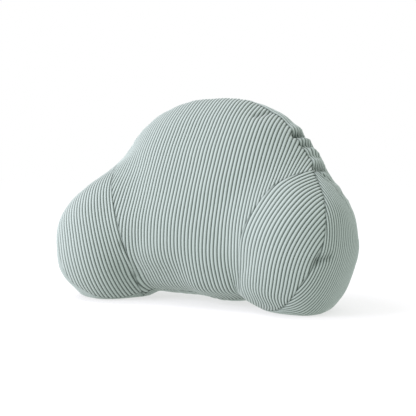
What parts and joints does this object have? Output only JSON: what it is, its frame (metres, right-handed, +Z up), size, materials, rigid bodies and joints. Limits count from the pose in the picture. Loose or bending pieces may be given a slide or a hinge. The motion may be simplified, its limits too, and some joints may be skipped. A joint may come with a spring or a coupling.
{
  "type": "lumbar pillow",
  "caption": "Firmly stuffed lumbar pillow in wide-wale corduroy, with a domed middle and a short rounded arm at each side that it stands on.",
  "frame": {"origin": "on the floor, under the middle of the pillow's box", "axes": "+X across the width, towards the right arm as seen from the front, +Y towards the back, +Z up"},
  "size_m": [0.4532, 0.2123, 0.2923],
  "materials": {
    "corduroy": "wide-wale cotton corduroy in a greyed sage green, matt with a soft pile"
  },
  "bodies": {
    "root": {"pillow": "corduroy"}
  },
  "joints": []
}
